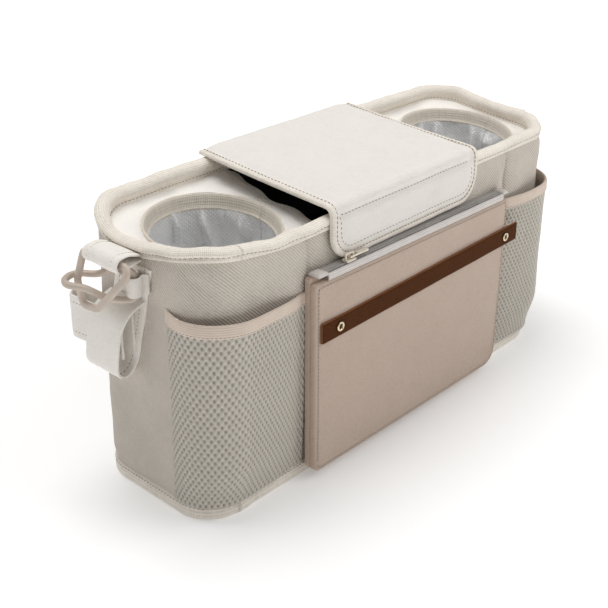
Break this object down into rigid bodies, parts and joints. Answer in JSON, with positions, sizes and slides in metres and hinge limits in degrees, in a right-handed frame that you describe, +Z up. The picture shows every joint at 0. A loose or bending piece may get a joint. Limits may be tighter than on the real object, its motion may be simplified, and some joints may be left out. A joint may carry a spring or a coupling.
{
  "type": "stroller organizer",
  "caption": "Long padded fabric caddy with drink holders, a folding lid over the middle, mesh side pockets, a zipped front pouch and a clip strap at each end.",
  "frame": {"origin": "middle of the flat underside, where the organizer stands on a table", "axes": "+X along the length, -Y to the front with the zipped pouch, +Z up"},
  "size_m": [0.4612, 0.1366, 0.2079],
  "materials": {
    "twill": "padded off-white linen-look twill",
    "linen": "padded off-white linen-look cloth",
    "binding": "cream woven binding",
    "foil": "wrinkled insulating foil film",
    "lining": "near-black lining cloth",
    "mesh": "cream spacer mesh",
    "elastic": "beige ribbed elastic",
    "pouch": "taupe imitation leather, fine grain",
    "zip_tape": "pale zip tape",
    "zip_teeth": "grey coil teeth",
    "zip_metal": "cream lacquered metal",
    "leather": "dark brown smooth leather",
    "brass": "polished pale brass",
    "plastic": "beige moulded plastic",
    "webbing": "off-white cloth strap",
    "hook_tape": "beige hook and loop tape"
  },
  "bodies": {
    "root": {"back_panel": "twill", "base_binding": "binding", "bottom_panel": "twill", "cup_collar_left": "binding", "cup_collar_right": "binding", "cup_liner_left": "foil", "cup_liner_right": "foil", "deck_hem_left": "linen", "deck_hem_right": "linen", "deck_left": "linen", "deck_right": "linen", "divider_left": "lining", "divider_right": "lining", "eyelet_left": "brass", "eyelet_right": "brass", "flap_root": "linen", "front_centre_panel": "twill", "hook_tab_left": "webbing", "hook_tab_right": "webbing", "leather_strip": "leather", "left_wrap_panel": "twill", "mesh_pocket_left": "mesh", "mesh_pocket_right": "mesh", "middle_lining": "lining", "panel_loop_tape": "hook_tape", "pocket_elastic_left": "elastic", "pocket_elastic_right": "elastic", "pouch_back": "pouch", "pouch_front": "pouch", "pouch_hanger_left": "leather", "pouch_hanger_right": "leather", "right_wrap_panel": "twill", "rim_binding": "binding", "snap_hook_left": "plastic", "snap_hook_right": "plastic", "strap_loop_left": "webbing", "strap_loop_right": "webbing", "strap_tab_left": "webbing", "strap_tab_right": "webbing", "strap_tail_left": "webbing", "strap_tail_right": "webbing", "zip_end_left": "zip_tape", "zip_end_right": "zip_tape", "zip_tape_back": "zip_tape", "zip_tape_front": "zip_tape", "zip_teeth": "zip_teeth"},
    "lid": {"flap_lid": "linen", "flap_binding": "binding", "flap_hook_tape": "hook_tape"},
    "slider": {"zip_slider": "zip_metal"},
    "pull": {"zip_pull": "zip_metal"},
    "ring_left": {"d_ring_left": "plastic"},
    "ring_right": {"d_ring_right": "plastic"}
  },
  "joints": [
    {"name": "lid_hinge", "type": "hinge", "parent": "root", "child": "lid", "pos_m": [0, 0.0655, 0.20331], "axis": [-1, 0, 0], "range_deg": [0, 250]},
    {"name": "zip_slide", "type": "slide", "parent": "root", "child": "slider", "axis": [1, 0, 0], "range_m": [-0.008, 0.165]},
    {"name": "zip_pull_hinge", "type": "hinge", "parent": "slider", "child": "pull", "pos_m": [-0.071, -0.0675, 0.1588], "axis": [0, -1, 0], "range_deg": [0, 175]},
    {"name": "ring_left_swing", "type": "hinge", "parent": "root", "child": "ring_left", "pos_m": [-0.214, 0, 0.1825], "axis": [0, 1, 0], "range_deg": [-8, 9]},
    {"name": "ring_right_swing", "type": "hinge", "parent": "root", "child": "ring_right", "pos_m": [0.214, 0, 0.1825], "axis": [0, -1, 0], "range_deg": [-8, 9]}
  ]
}
